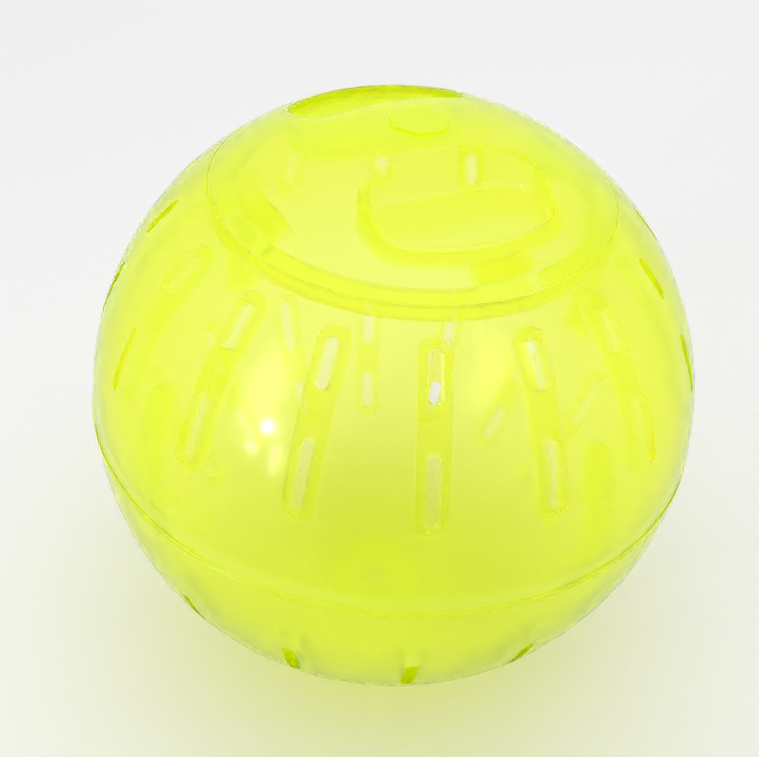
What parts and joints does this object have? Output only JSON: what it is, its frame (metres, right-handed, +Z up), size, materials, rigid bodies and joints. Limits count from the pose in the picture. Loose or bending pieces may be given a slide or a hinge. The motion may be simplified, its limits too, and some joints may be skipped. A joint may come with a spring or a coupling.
{
  "type": "hamster ball",
  "caption": "Translucent exercise ball for a small pet: two vented half shells snapped together, with a lift-out lid gripped by a bar between finger wells.",
  "frame": {"origin": "centre of the flat foot on which the ball stands", "axes": "+Z up through the lid, the front of the ball at -Y"},
  "size_m": [0.1206, 0.1206, 0.12],
  "materials": {
    "lime_plastic": "clear fluorescent lime, polished"
  },
  "bodies": {
    "ball": {"upper_shell": "lime_plastic", "lower_shell": "lime_plastic"},
    "lid": {"lid": "lime_plastic"}
  },
  "joints": [
    {"name": "lid_lift", "type": "slide", "parent": "ball", "child": "lid", "axis": [0, 0, 1], "range_m": [0, 0.05]}
  ]
}
